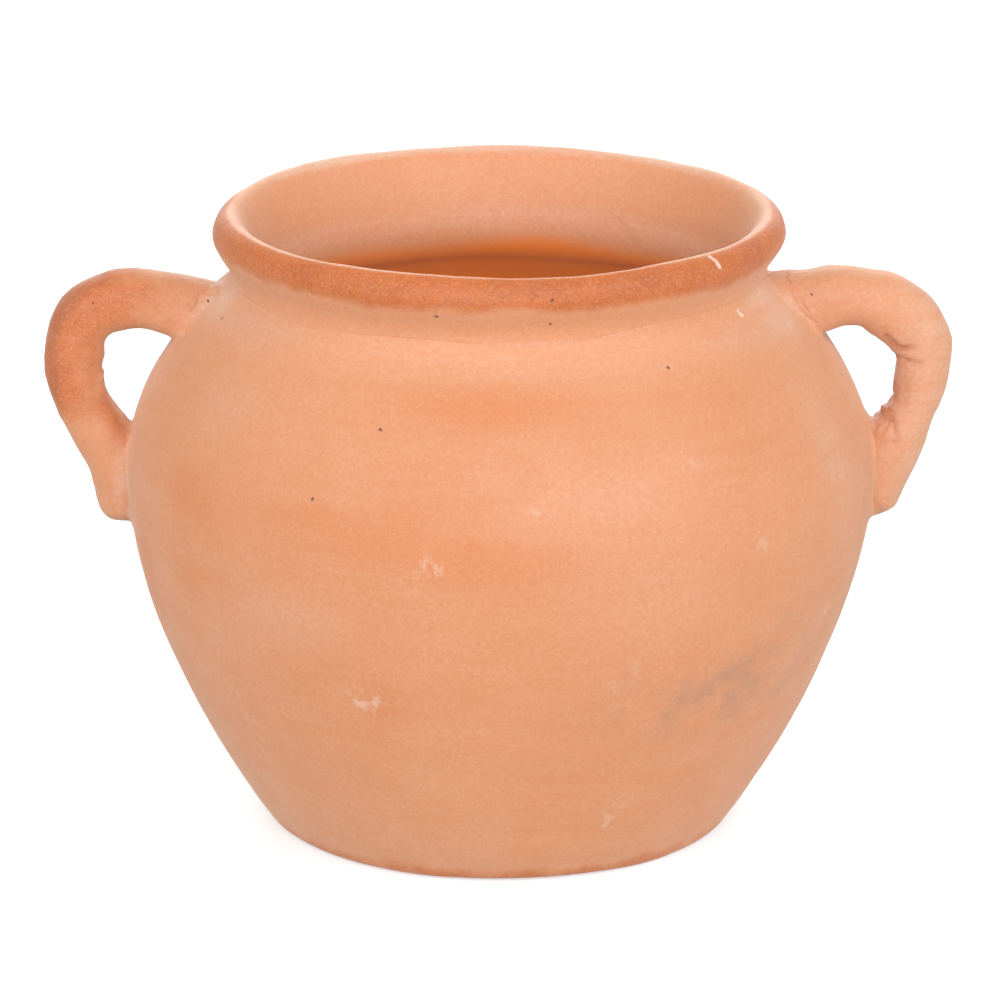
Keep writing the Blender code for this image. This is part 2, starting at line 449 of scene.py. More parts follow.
def make_rim():
    line = evenly(collar_line(), RIM_SPACING)
    outline = np.vstack([tucked(line[::-1], -1)[::-1], line, tucked(line, 1)])
    outer_rows = np.arange(len(outline)) < len(line) // 3
    points, normals, angle = skin(outline, outer_rows, RIM_COLUMNS)
    depth = uneven(points, *RIM_WAVES)
    edge = fade(points[..., 2], SEAM_HEIGHT + 5 * MM, SEAM_HEIGHT) * outer_rows[:, None]
    depth += COLLAR_STEP * edge * (1 + lumps(points, 30 * MM, 25))
    points = points + depth[..., None] * normals
    points = smeared(points, normals, COLLAR_SMEARS + NECK_SMEARS)
    piece = grid_mesh("rolled_rim", settled(points), close_rows=True)
    # The roll is flashed where it faces out. Its crest is a little pale with wear where it faces in, and much
    # paler at the back with painted highlight. Painted light lifts the side that faces in.
    faces_out = fade(normals[..., 0] * np.cos(angle) + normals[..., 1] * np.sin(angle), -0.2, 0.6)
    ragged_height = points[..., 2] + uneven(points, *FLASH_EDGE_WAVES)
    flash_and_shade = fade(ragged_height, 165.5 * MM, 174 * MM) * faces_out
    behind = fade(np.abs(degrees_round(points)), 100, 150)
    wear_and_highlight = np.maximum(1.7 * behind, 0.25 * fade(faces_out, 0.35, 0.05))
    crest = fade(points[..., 2], 176.8 * MM, 179.0 * MM) * wear_and_highlight
    inner_rows = (np.arange(len(outline)) > len(line) // 2)[:, None]
    painted_inner_light = 0.12 * inner_rows * fade(faces_out, 0.3, 0)
    paint(piece, points, flash_and_shade=flash_and_shade * (1 - 0.6 * crest), pale=crest + painted_inner_light)
    return piece


# ---- The handles ----


def grid_normals(points):
    """Unit normals of a grid that is closed round its columns, to one side of it."""
    along = np.gradient(points, axis=0)
    across = np.roll(points, -1, axis=1) - np.roll(points, 1, axis=1)
    normals = np.cross(along, across)
    return normals / np.maximum(np.linalg.norm(normals, axis=2), 1e-12)[..., None]


HANDLE_STEPS = 14
HANDLE_COLUMNS = 100
# The handle's section is a slightly squared oval: 2 would make it a plain ellipse.
SECTION_POWER = 2.25
HANDLE_WAVES = [(0.18, 26, 31), (0.12, 9, 32), (0.045, 3.2, 33)]


def handle_grid(stations, side):
    """The skin of a handle from the neck down, and its normals, one row for each step along it."""
    table = curve(np.array(stations) * MM, HANDLE_STEPS)
    outer, inner, width = table[:, :2], table[:, 2:4], table[:, 4]
    angle = np.linspace(0, 2 * math.pi, HANDLE_COLUMNS, endpoint=False)
    roundness = 2 / SECTION_POWER
    across = np.sign(np.sin(angle)) * np.abs(np.sin(angle)) ** roundness
    inward = np.sign(np.cos(angle)) * np.abs(np.cos(angle)) ** roundness
    middle, half = (outer + inner) / 2, (outer - inner) / 2
    flat = middle[:, None] + half[:, None] * inward[None, :, None]
    points = np.stack([side * flat[..., 0], width[:, None] * across[None], flat[..., 1]], axis=2)
    normals = grid_normals(points)
    outwards = np.sum(normals * (points - points.mean(axis=1)[:, None]))
    normals *= np.sign(outwards)
    return points + uneven(points, *HANDLE_WAVES)[..., None] * normals, normals


def make_handle(name, points, flash_and_shade, pale):
    piece = grid_mesh(name, settled(points), close_rows=False)
    paint(piece, points, flash_and_shade=flash_and_shade, pale=pale)
    return piece


# Marks that go right through a handle from front to back, each a start and an end as (side, height) in
# millimetres: folds round the inside of the right handle's bend, then those below its rolled-up end.
# Each fold is pressed in, and also darkened with painted shade.
BEND_FOLDS = [
    ((109.7, 143.9), (113.6, 140.2)),
    ((113.6, 140.2), (117.2, 140.8)),
    ((113.2, 136.9), (119.0, 136.1)),
]
ROLL_FOLDS = [
    ((112.2, 124.4), (109.3, 121.8)),
    ((109.3, 121.8), (108.4, 119.0)),
    ((111.4, 121.0), (112.6, 113.9)),
]
# Thin cracks where the clay was luted on, drawn dark with painted shade.
CRACKS = [
    ((-87.6, 151.9), (-85.9, 154.0)),
    ((-85.9, 154.0), (-85.2, 156.1)),
    ((-107.1, 118.4), (-106.8, 111.8)),
    ((81.9, 161.1), (83.4, 155.9)),
    ((83.4, 155.9), (86.5, 151.0)),
    ((86.5, 151.0), (90.0, 148.4)),
    ((85.8, 155.5), (87.3, 151.9)),
    ((106.0, 117.2), (107.2, 113.5)),
]
# Pits on the handles, darkened with painted shade.
HANDLE_PITS = [(88.6, 156.4), (-82.5, 154.5), (-115.2, 153.8)]
# Where the clay was left rough: a place, in millimetres from the axis and the base, and a radius.
ROUGH_PATCHES = [((-87, -9, 153), 6.0), ((88, -9, 152), 5.0), ((108, -7, 119), 4.0)]
ROUGH_WAVES = [(0.42, 3.0, 51), (0.12, 1.9, 52)]


def upright(mark):
    """Both ends of a mark of (side, height) places as points in metres."""
    return [(side * MM, 0, height * MM) for side, height in mark]


def from_mark(points, mark):
    """Distance of each point from a mark, as seen from the front, in metres."""
    start, end = np.array(upright(mark)) / MM
    return from_line(points * (1, 0, 1), start, end)


def folded(points, normals, marks, width, depth):
    for mark in marks:
        amount = depth * MM * hump(from_mark(points, mark), width * MM)
        points = points - amount[..., None] * normals
    return points


def roughened(points, normals):
    for place, radius in ROUGH_PATCHES:
        nearby = hump(from_line(points, place, np.array(place) + 0.1), radius * MM)
        points = points + (nearby * uneven(points, *ROUGH_WAVES))[..., None] * normals
    return points


# The middle of the left handle's opening. Flashing grows with the distance from it.
LEFT_OPENING = ((-96, 124), (-98, 134))
LEFT_DUST = 0.1


def left_handle():
    """The left handle's surface, and at each point how flashed it is, with painted shade in the crotch, and
    how much pale dusting it has.
    """
    points, normals = handle_grid(LEFT_HANDLE, -1)
    # Two small beads of clay stand on the inside of the bend.
    points = pressed(points, normals, (-114.2, -4, 130.5), (-114.2, -1, 131.5), 1.0, -0.8)
    points = pressed(points, normals, (-113.6, -5, 127.5), (-113.8, -1, 128.5), 0.8, -0.5)
    out, up = -points[..., 0], points[..., 2]
    bend = fade(up, 106 * MM, 134 * MM) * fade(out, 80 * MM, 108 * MM)
    outer = fade(from_line(points, *(np.array(upright(LEFT_OPENING)) / MM)), 17 * MM, 31 * MM)
    edge = fade(from_mark(points, LEFT_OPENING), 26.5 * MM, 31.5 * MM)
    flash_and_shade = bend * (0.42 + 0.45 * outer + 0.9 * edge)
    # The top is paler near the neck, and painted shade darkens the crotch.
    flash_and_shade *= 1 - 0.4 * fade(up, 157.5 * MM, 161 * MM) * fade(out, 116 * MM, 106 * MM)
    flash_and_shade += 0.5 * hump(from_line(points, (-110, -6, 123), (-107, -7, 112)), 4 * MM)
    return roughened(points, normals), flash_and_shade, LEFT_DUST


# The inner edge of the right handle's opening, faintly darkened with painted shade, and its darkest stretch,
# where the roll's shadow is painted.
RIGHT_EDGE_SHADE = [((104, 147), (111.5, 143)), ((111.5, 143), (113.6, 136)), ((113.6, 136), (111, 123))]
RIGHT_ROLL_SHADOW = ((112.0, 127), (109.0, 120.5))
FOLD_WIDTH, FOLD_DEPTH = 0.8, 0.7


def right_handle():
    """The right handle's surface, and at each point its painted shade along the opening and how much pale
    dusting it has.
    """
    points, normals = handle_grid(RIGHT_HANDLE, 1)
    # At the bend: folds, the roll of clay between them and a groove above.
    points = folded(points, normals, BEND_FOLDS, FOLD_WIDTH, FOLD_DEPTH)
    points = pressed(points, normals, (113.4, 2, 138.6), (116.5, -9, 138.7), 1.6, -0.6)
    points = pressed(points, normals, (109.2, -10, 146.2), (107.5, 4, 143.0), 0.9, 0.4)
    # At the lower end: folds and the small curl of clay in the crotch.
    points = folded(points, normals, ROLL_FOLDS, FOLD_WIDTH, FOLD_DEPTH)
    points = pressed(points, normals, (109.6, -6, 121.6), (109.8, 1, 120.2), 1.2, -1.2)
    # Painted shade along the opening, and the roll's painted shadow in the crotch.
    flash_and_shade = sum(0.25 * hump(from_mark(points, mark), 2.4 * MM) for mark in RIGHT_EDGE_SHADE)
    flash_and_shade += 0.9 * hump(from_mark(points, RIGHT_ROLL_SHADOW), 2 * MM)
    surface = roughened(points, normals)
    return surface, flash_and_shade, 0.35 + 0.4 * fade(surface[..., 0], 108 * MM, 119 * MM)


# ---- The luting: soft clay smoothed from each handle end on to the wall ----


def crossing_rows(points, from_start):
    """For each column of a handle, the fractional row at which it comes out of the wall, from one end."""
    clear = np.hypot(points[..., 0], points[..., 1]) - wall_radius(points[..., 2])
    rows = []
    for column in clear.T:
        outside = np.flatnonzero(column > 0)
        row = outside[0] - 1 if from_start else outside[-1]
        rows.append(row + column[row] / (column[row] - column[row + 1]))
    return np.array(rows)


def at_rows(points, rows):
    """Points of a grid at one fractional row for each column."""
    low = np.clip(np.floor(rows).astype(int), 0, len(points) - 2)
    share = (rows - low)[:, None]
    columns = np.arange(points.shape[1])
    return points[low, columns] * (1 - share) + points[low + 1, columns] * share


# More steps along a handle than any luting reaches up it.
LUTING_STEPS = 60


def up_the_handle(points, rows, reach, from_start):
    """Points a given distance along each column from its crossing, away from the wall."""
    starts = at_rows(points, rows)
    ends = []
    for column, start in enumerate(starts):
        first = int(math.floor(rows[column]))
        line = points[first + 1 :, column] if from_start else points[first::-1, column]
        path = np.vstack([start, line[:LUTING_STEPS]])
        travelled = np.r_[0, np.cumsum(np.linalg.norm(np.diff(path, axis=0), axis=1))]
        ends.append([np.interp(reach[column], travelled, axis) for axis in path.T])
    return np.array(ends)


def smoothed(values, passes):
    """Values round a ring, each pass averaging every one with its neighbours."""
    for _ in range(passes):
        values = (np.roll(values, 1, axis=0) + 2 * values + np.roll(values, -1, axis=0)) / 4
    return values


def reaches(columns, outer, sides, inner):
    """A distance for each column round a handle, in millimetres, from its outer edge to its inner one."""
    turn = np.cos(np.linspace(0, 2 * math.pi, columns, endpoint=False))
    ends = np.where(turn > 0, outer, inner)
    return MM * (sides + (ends - sides) * turn**2)


SKIN_ROWS = 15
LUTING_WAVES = [(0.22, 5.5, 41), (0.12, 2.4, 42)]
# How far the back of the strip lies under the handle's skin, inside the wall at the corner, and in the wall.
UNDER_HANDLE, IN_CORNER, IN_WALL = 0.5 * MM, 1.5 * MM, 0.5 * MM


def luting_grid(points, from_start, wall_reach, handle_reach, pull):
    """A strip of clay round a handle's end, from the wall up on to the handle, closed behind. The pull says
    how closely it follows the corner between the two."""
    rows = crossing_rows(points, from_start)
    corner = smoothed(at_rows(points, rows), 2)
    corner, normal = on_wall(np.arctan2(corner[:, 1], corner[:, 0]), corner[:, 2])
    along = np.roll(corner, -1, axis=0) - np.roll(corner, 1, axis=0)
    away = np.cross(normal, along)
    away /= np.linalg.norm(away, axis=1)[:, None]
    away *= np.sign(np.sum((corner - corner.mean(axis=0)) * away))
    away = smoothed(away, 4)
    wall_point = corner + away * wall_reach[:, None]
    wall_edge, wall_normal = on_wall(np.arctan2(wall_point[:, 1], wall_point[:, 0]), wall_point[:, 2])
    handle_edge = smoothed(up_the_handle(points, rows, handle_reach, from_start), 1)
    share = np.linspace(0, 1, SKIN_ROWS)[:, None, None]
    weights = [(1 - share) ** 2, 2 * share * (1 - share) * pull[None, :, None], share**2]
    strip = (weights[0] * wall_edge + weights[1] * corner + weights[2] * handle_edge) / sum(weights)
    centre = points.mean(axis=1)[np.clip(np.round(rows).astype(int), 0, len(points) - 1)]
    inward = (centre - handle_edge) / np.linalg.norm(centre - handle_edge, axis=1)[:, None]
    under_handle = handle_edge + UNDER_HANDLE * inward
    in_corner = corner - IN_CORNER * normal
    in_wall = wall_edge - IN_WALL * wall_normal
    return np.concatenate([strip, [under_handle, in_corner, in_wall]])


CORNER_PULL = 2.2


def make_luting(name, points, from_start, wall_reach, handle_reach, crotch_pull):
    columns = points.shape[1]
    wall_reach, handle_reach = reaches(columns, *wall_reach), reaches(columns, *handle_reach)
    pull = reaches(columns, CORNER_PULL, CORNER_PULL, crotch_pull) / MM
    grid = luting_grid(points, from_start, wall_reach, handle_reach, pull)
    strip = grid[:SKIN_ROWS]
    normals = grid_normals(strip)
    normals *= np.sign(np.sum(normals * (strip - grid[SKIN_ROWS + 1])))
    cover = np.sin(np.linspace(0, math.pi, SKIN_ROWS))[:, None] * np.ones(columns)
    rough = cover * uneven(strip, *LUTING_WAVES)
    grid[:SKIN_ROWS] = roughened(strip + rough[..., None] * normals, normals)
    piece = grid_mesh(name, settled(grid), close_rows=True)
    behind = np.zeros((len(grid) - SKIN_ROWS, columns))
    paint(piece, grid, pale=0.5 * np.concatenate([cover, behind]))
    return piece


# ---- Marks of the kiln and of handling, with painted light and shade, as soft layers on the points ----

# Each patch: degrees from the front, height, size across, size up and down (millimetres), strength.
WARM_PATCHES = [
    (-3, 146, 30, 6.5, 0.9),
    (-54, 113, 13, 8, 0.8),
    (-33, 114, 20, 6, 0.6),
    (-17, 111, 18, 7, 0.8),
    (0, 107.5, 20, 7, 0.7),
    (-55, 86, 9, 9, 0.8),
    (-72, 86, 8, 18, 0.5),
    (-18, 62, 9, 7, 0.7),
    (-13, 125, 18, 9, 0.5),
    (120, 70, 30, 20, 0.7),
    (-150, 100, 34, 18, 0.8),
    (170, 130, 30, 12, 0.6),
]
SMUDGES = [
    (30, 60, 26, 13, 0.55),
    (40, 60, 20, 8, 0.7),
    (50, 68, 18, 13, 0.6),
    (56, 55, 12, 9, 0.5),
    (-160, 50, 24, 10, 0.7),
]
SCUFFS = [
    (6, 119, 3.5, 1.8, 1.0),
    (-10, 105, 3.5, 5.0, 1.0),
    (-12, 100, 4.0, 2.0, 0.8),
    (-21.5, 62, 6.0, 3.6, 1.2),
    (29.5, 129, 4.0, 2.0, 0.8),
    (20.6, 68, 4.5, 5.0, 0.9),
    (23, 28, 3.0, 13.0, 0.9),
    (42, 103, 2.0, 2.0, 0.9),
    (64, 74, 3.0, 3.0, 0.9),
    (-50, 46, 2.5, 12.0, 0.8),
    (110, 55, 5.0, 4.0, 1.0),
    (155, 95, 7.0, 3.0, 1.0),
    (-130, 75, 4.0, 9.0, 1.0),
    (-170, 120, 5.0, 3.0, 0.8),
]
PALE_PATCHES = [
    (-78, 159, 8, 6, 0.9),
    (74, 157, 10, 9, 0.9),
    (-82, 100, 5, 14, 0.95),
    (-52, 138, 18, 9, 0.3),
    (17, 121, 20, 9, 0.35),
    (-33, 84, 22, 9, 0.35),
    (22, 93, 24, 16, 0.35),
    (64, 118, 10, 20, 0.6),
    (150, 115, 30, 12, 0.4),
]


def patches(points, places):
    """How strongly a list of soft patches covers each point."""
    total = np.zeros(points.shape[:-1])
    radius = np.hypot(points[..., 0], points[..., 1])
    for degrees, height, across, up, strength in places:
        turn = np.radians((degrees_round(points) - degrees + 180) % 360 - 180)
        sideways = radius * turn / (across * MM)
        upwards = (points[..., 2] - height * MM) / (up * MM)
        total += strength * np.exp(-(sideways**2) - upwards**2)
    return total


def band(points, height, half):
    """How strongly a soft level band, its height and half width in millimetres, covers each point."""
    return hump(points[..., 2] - height * MM, half * MM)


# Pale level bands, each its height and half width in millimetres: painted highlight on the shoulder and
# painted light in the throat. Then how the edge of the painted bounce colour inside wanders.
SHOULDER_HIGHLIGHT_BAND = (156.0, 5.0)
THROAT_LIGHT_BAND = (159.0, 4.0)
INSIDE_WAVES = [(0.8, 45, 61)]


def paint(piece, points, flash_and_shade=0.0, pale=0.0):
    """Stores the layers that the clay's material mixes, one number for each point."""
    off_wall = np.hypot(points[..., 0], points[..., 1]) - wall_radius(points[..., 2])
    outside = off_wall > -0.5 * WALL
    wall = outside * fade(off_wall, 5 * MM, 3 * MM)
    depth = points[..., 2] + uneven(points, *INSIDE_WAVES)
    # Painted bounce light: below the throat the inside turns a saturated orange, most strongly high up where
    # it shows.
    inside = fade(depth, 155 * MM, 148.5 * MM) * (0.4 + 0.6 * fade(depth, 95 * MM, 125 * MM))
    # Pale dusting in patches, and a painted highlight along the shoulder.
    dust_and_highlight = patches(points, PALE_PATCHES) + 0.5 * band(points, *SHOULDER_HIGHLIGHT_BAND)
    layers = {
        "inside": inside * ~outside,
        "flash_and_shade": flash_and_shade + np.zeros(points.shape[:-1]),
        # Painted light in the throat joins the pale layer.
        "pale": pale + wall * dust_and_highlight + 0.4 * band(points, *THROAT_LIGHT_BAND) * ~outside,
        "warm": patches(points, WARM_PATCHES) * wall,
        "smudge": patches(points, SMUDGES) * wall,
        "scuff": patches(points, SCUFFS) * wall,
    }
    for name, values in layers.items():
        attribute = piece.data.attributes.new(name, "FLOAT", "POINT")
        attribute.data.foreach_set("value", values.astype(np.float32).ravel())


# How far the wet clay gave way, at most: up at the back of the rim, in on the right of the roll, back at the
# front of the foot, in on the left of the shoulder and out on the right of the belly.
RIM_LIFT = 0.5 * MM
ROLL_DENT = 0.9 * MM
FOOT_DENT = 0.8 * MM
SHOULDER_DENT = 0.8 * MM
BELLY_SWELL = 0.5 * MM


def settled(points):
    """The points of the finished pot, which sagged a little as wet clay does. None goes below the floor."""
    points = points.copy()
    side, height = points[..., 0].copy(), points[..., 2].copy()
    behind = np.cos(np.radians(degrees_round(points) - 200))
    points[..., 2] += RIM_LIFT * fade(height, 150 * MM, 174 * MM) * fade(behind, 0.35, 1.0)
    roll = hump(height - 167 * MM, 5 * MM) * fade(np.abs(side), 90 * MM, 84 * MM)
    points[..., 0] -= ROLL_DENT * roll * fade(side, 40 * MM, 75 * MM)
    foot = fade(height, 16 * MM, 0) * fade(-points[..., 1], 15 * MM, 60 * MM)
    points[..., 1] += FOOT_DENT * foot
    shoulder = hump(height - 138 * MM, 9 * MM) * fade(side, 95 * MM, 92 * MM)
    points[..., 0] += SHOULDER_DENT * shoulder * fade(-side, 40 * MM, 85 * MM)
    belly = hump(height - 95 * MM, 42 * MM)
    points[..., 0] += BELLY_SWELL * belly * fade(side, 30 * MM, 80 * MM)
    return points


# ---- Fired clay ----

PINK_CLAY = (0.67, 0.312, 0.162)
ORANGE_CLAY = (0.64, 0.250, 0.102)
# Kiln flashing shares these two reds with the painted shade at the foot, in the crotches and along the right
# handle's opening.
FLASH_AND_SHADE_RED = (0.56, 0.147, 0.029)
DEEPEST_FLASH_AND_SHADE = (0.40, 0.10, 0.03)
# Painted bounce light inside the pot.
INNER_BOUNCE_ORANGE = (0.88, 0.245, 0.028)
# Pale dusting, and the painted highlight and painted light that the pale layer carries.
PALE_DUST_AND_HIGHLIGHT = (0.70, 0.44, 0.31)
SOOTY_CLAY = (0.46, 0.24, 0.14)
# Red specks, and painted shade in creases and cracks.
SPECK_AND_CREASE_SHADE_RED = (0.36, 0.08, 0.025)
CHALK = (0.80, 0.66, 0.55)
# Painted shade in pits.
PIT_SHADE = (0.12, 0.05, 0.03)
# Half the width of each kind of mark, how far a mark wanders from its straight line, and over what length.
PIT_RADIUS, HANDLE_PIT_RADIUS, CHIP_RADIUS = 0.65 * MM, 0.5 * MM, 0.85 * MM
FOLD_RADIUS, CRACK_RADIUS = 1.3 * MM, 0.5 * MM
WANDER, WANDER_SIZE = 1.5 * MM, 2.5 * MM


class Graph:
    """A material's nodes, with a short call for each kind that the clay needs."""

    def __init__(self, material):
        material.use_nodes = True
        self.tree = material.node_tree
        self.shader = self.tree.nodes["Principled BSDF"]
        self.place = self.node("ShaderNodeTexCoord").outputs["Object"]

    def feed(self, socket, value):
        if isinstance(value, bpy.types.NodeSocket):
            self.tree.links.new(value, socket)
        else:
            socket.default_value = value

    def node(self, kind, settings=None, inputs=()):
        made = self.tree.nodes.new(kind)
        for name, value in (settings or {}).items():
            setattr(made, name, value)
        for name, value in inputs:
            self.feed(made.inputs[name], value)
        return made

    def layer(self, name):
        return self.node("ShaderNodeAttribute", {"attribute_name": name}).outputs["Fac"]

    def maths(self, operation, first, second=0.0):
        settings = {"operation": operation}
        return self.node("ShaderNodeMath", settings, [(0, first), (1, second)]).outputs[0]

    def times(self, first, *others):
        for other in others:
            first = self.maths("MULTIPLY", first, other)
        return first

    def plus(self, first, *others):
        for other in others:
            first = self.maths("ADD", first, other)
        return first

    def vector(self, operation, first, second=(0, 0, 0)):
        settings = {"operation": operation}
        return self.node("ShaderNodeVectorMath", settings, [(0, first), (1, second)])

    def noise(self, size, detail=2.0, roughness=0.5, squeeze=(1, 1, 1), shift=0.0):
        """Noise with features of about this size in metres, between about 0.3 and 0.7."""
        where = self.vector("MULTIPLY", self.place, tuple(squeeze)).outputs[0]
        where = self.vector("ADD", where, (shift, shift, shift)).outputs[0]
        inputs = [("Vector", where), ("Scale", 1 / size), ("Detail", detail), ("Roughness", roughness)]
        return self.node("ShaderNodeTexNoise", {}, inputs).outputs["Fac"]

    def ramp(self, value, low, high):
        """0 at low, 1 at high, smooth between. low may be the larger."""
        settings = {"interpolation_type": "SMOOTHSTEP"}
        inputs = [("Value", value), ("From Min", low), ("From Max", high)]
        return self.node("ShaderNodeMapRange", settings, inputs).outputs["Result"]

    def mix(self, share, first, second):
        made = self.node("ShaderNodeMix", {"data_type": "RGBA"}, [("Factor", share)])
        self.feed(made.inputs["A"], self.colour(first))
        self.feed(made.inputs["B"], self.colour(second))
        return made.outputs["Result"]

    def colour(self, value):
        return (*value, 1.0) if isinstance(value, tuple) else value

    def near(self, marks, radius, through=False):
        """1 on any of the short marks, fading to 0 at the radius. Each mark is the two ends of a line, and it
        wanders a little to either side. Marks that go through lie in the plane of the handles, and show from
        front to back."""
        total = 0.0
        flat = (1, 0, 1) if through else (1, 1, 1)
        inputs = [("Vector", self.place), ("Scale", 1 / WANDER_SIZE)]
        wander = self.node("ShaderNodeTexNoise", {}, inputs).outputs["Color"]
        wander = self.vector("MULTIPLY", wander, (WANDER, WANDER, WANDER)).outputs[0]
        place = self.vector("ADD", self.place, wander).outputs[0]
        place = self.vector("SUBTRACT", place, (WANDER / 2, WANDER / 2, WANDER / 2)).outputs[0]
        place = self.vector("MULTIPLY", place, flat).outputs[0]
        for start, end in marks:
            offset = self.vector("SUBTRACT", place, tuple(start)).outputs[0]
            reach = np.array(end) - start
            if np.any(reach):
                share = self.vector("DOT_PRODUCT", offset, tuple(reach / (reach @ reach))).outputs["Value"]
                share = self.node("ShaderNodeClamp", {}, [("Value", share)]).outputs[0]
                along = self.vector("SCALE", tuple(reach))
                self.feed(along.inputs["Scale"], share)
                offset = self.vector("SUBTRACT", offset, along.outputs[0]).outputs[0]
            away = self.vector("LENGTH", offset).outputs["Value"]
            total = self.maths("MAXIMUM", self.ramp(away, radius, 0.4 * radius), total)
        return total


def fired_clay(name, pits=(), chips=(), handle_pits=(), folds=(), cracks=()):
    """Terracotta: mottled, speckled, faintly streaked by wiping, pale with dusting, with a fine grain, and
    with the painted light and shade that its layers carry.
    """
    material = bpy.data.materials.new(name)
    graph = Graph(material)

    broad = graph.ramp(graph.noise(60 * MM, 2.0), 0.35, 0.65)
    cloudy = graph.ramp(graph.noise(16 * MM, 3.0, 0.6, shift=3.1), 0.3, 0.7)
    wiped = graph.noise(34 * MM, 4.0, 0.6, squeeze=(1, 1, 9), shift=7.7)
    speckle = graph.noise(1.3 * MM, 2.0, 0.6)
    grain = graph.noise(0.45 * MM, 1.0, 0.5)

    # The body of the clay: pink to orange, in slow clouds and in streaks left by wiping.
    warmth = graph.plus(graph.times(broad, 0.35), graph.layer("warm"))
    warmth = graph.plus(warmth, graph.times(graph.maths("SUBTRACT", wiped, 0.5), 1.1))
    colour = graph.mix(graph.ramp(warmth, -0.1, 1.1), PINK_CLAY, ORANGE_CLAY)
    colour = graph.mix(graph.times(cloudy, 0.25), colour, ORANGE_CLAY)

    # Kiln flashing, which shares its layer with painted shade at the foot, in the crotches and along the
    # right handle's opening: red where it is strong, with dark and pale speckle that shows only there.
    flash_and_shade_edge = graph.plus(graph.layer("flash_and_shade"), graph.times(cloudy, 0.3))
    flash_and_shade = graph.times(graph.ramp(flash_and_shade_edge, 0.40, 1.05), 0.95)
    colour = graph.mix(flash_and_shade, colour, FLASH_AND_SHADE_RED)
    deepest_flash_and_shade = graph.ramp(graph.plus(flash_and_shade_edge, graph.times(cloudy, 0.3)), 1.15, 1.75)
    colour = graph.mix(graph.times(deepest_flash_and_shade, 0.7), colour, DEEPEST_FLASH_AND_SHADE)
    red_dots = graph.ramp(graph.noise(0.9 * MM, 3.0, 0.7, shift=5.3), 0.50, 0.68)
    colour = graph.mix(graph.times(red_dots, flash_and_shade, 0.6), colour, SPECK_AND_CREASE_SHADE_RED)
    mottled = graph.ramp(graph.noise(3.0 * MM, 4.0, 0.7, shift=9.1), 0.45, 0.62)
    colour = graph.mix(graph.times(mottled, flash_and_shade, 0.30), colour, DEEPEST_FLASH_AND_SHADE)
    pale_dots = graph.ramp(graph.noise(1.1 * MM, 2.0, 0.6, shift=11.3), 0.50, 0.68)
    colour = graph.mix(graph.times(pale_dots, flash_and_shade, 0.3), colour, PINK_CLAY)

    # What lies on the surface: pale dusting mixed with painted highlight and painted light, soot and chalky
    # scuffs, then the fine speckle that is everywhere.
    dust_and_highlight = graph.times(graph.layer("pale"), graph.ramp(wiped, 0.1, 0.8))
    colour = graph.mix(dust_and_highlight, colour, PALE_DUST_AND_HIGHLIGHT)
    smears = graph.ramp(graph.noise(14 * MM, 4.0, 0.65), 0.35, 0.75)
    colour = graph.mix(graph.times(graph.layer("smudge"), smears), colour, SOOTY_CLAY)
    flakes = graph.ramp(graph.noise(3.2 * MM, 5.0, 0.65, squeeze=(1, 1, 0.6)), 0.5, 0.62)
    colour = graph.mix(graph.times(graph.layer("scuff"), flakes, 0.4), colour, CHALK)
    dots = graph.times(graph.ramp(speckle, 0.62, 0.40), 0.16)
    colour = graph.mix(dots, colour, FLASH_AND_SHADE_RED)
    bright = graph.times(graph.ramp(grain, 0.50, 0.75), 0.12)
    colour = graph.mix(bright, colour, CHALK)
    # Painted bounce light turns the inside a saturated orange.
    colour = graph.mix(graph.layer("inside"), colour, INNER_BOUNCE_ORANGE)

    # Single marks: creases and cracks darkened with painted shade, broken up along their length, then chips,
    # then pits darkened with painted shade.
    handle_pitted = graph.near(handle_pits, HANDLE_PIT_RADIUS, through=True)
    pitted = graph.maths("MAXIMUM", graph.near(pits, PIT_RADIUS), handle_pitted)
    broken = graph.times(graph.ramp(graph.noise(3.5 * MM, 3.0, 0.6, shift=2.2), 0.30, 0.60), 0.42)
    cracked = graph.times(graph.near(cracks, CRACK_RADIUS, through=True), 0.7)
    creased = graph.maths("MAXIMUM", graph.near(folds, FOLD_RADIUS, through=True), cracked)
    colour = graph.mix(graph.times(creased, broken), colour, SPECK_AND_CREASE_SHADE_RED)
    colour = graph.mix(graph.times(graph.near(chips, CHIP_RADIUS), 0.8), colour, CHALK)
    colour = graph.mix(graph.times(pitted, 0.9), colour, PIT_SHADE)
    graph.feed(graph.shader.inputs["Base Color"], colour)

    graph.feed(graph.shader.inputs["Roughness"], graph.plus(0.60, graph.times(cloudy, 0.1)))
    height = graph.plus(graph.times(grain, 0.35), speckle)
    height = graph.maths("SUBTRACT", height, graph.times(pitted, 3.0))
    height = graph.plus(height, graph.times(wiped, 0.8))
    inputs = [("Height", height), ("Distance", 0.10 * MM), ("Strength", 0.7)]
    bump = graph.node("ShaderNodeBump", {}, inputs)
    graph.feed(graph.shader.inputs["Normal"], bump.outputs[0])
    graph.shader.inputs["Specular IOR Level"].default_value = 0.5
    graph.shader.inputs["Diffuse Roughness"].default_value = 0.6
    graph.shader.inputs["Sheen Weight"].default_value = 0.2
    graph.shader.inputs["Sheen Roughness"].default_value = 0.5
    graph.shader.inputs["Sheen Tint"].default_value = (1.0, 0.86, 0.76, 1.0)
    return material


# ---- The pot ----


def wall_spot(degrees, height):
    point, _ = on_wall(np.radians(degrees - 90), height * MM)
    return tuple(float(value) for value in point)


def spots(places):
    return [(wall_spot(*place), wall_spot(*place)) for place in places]


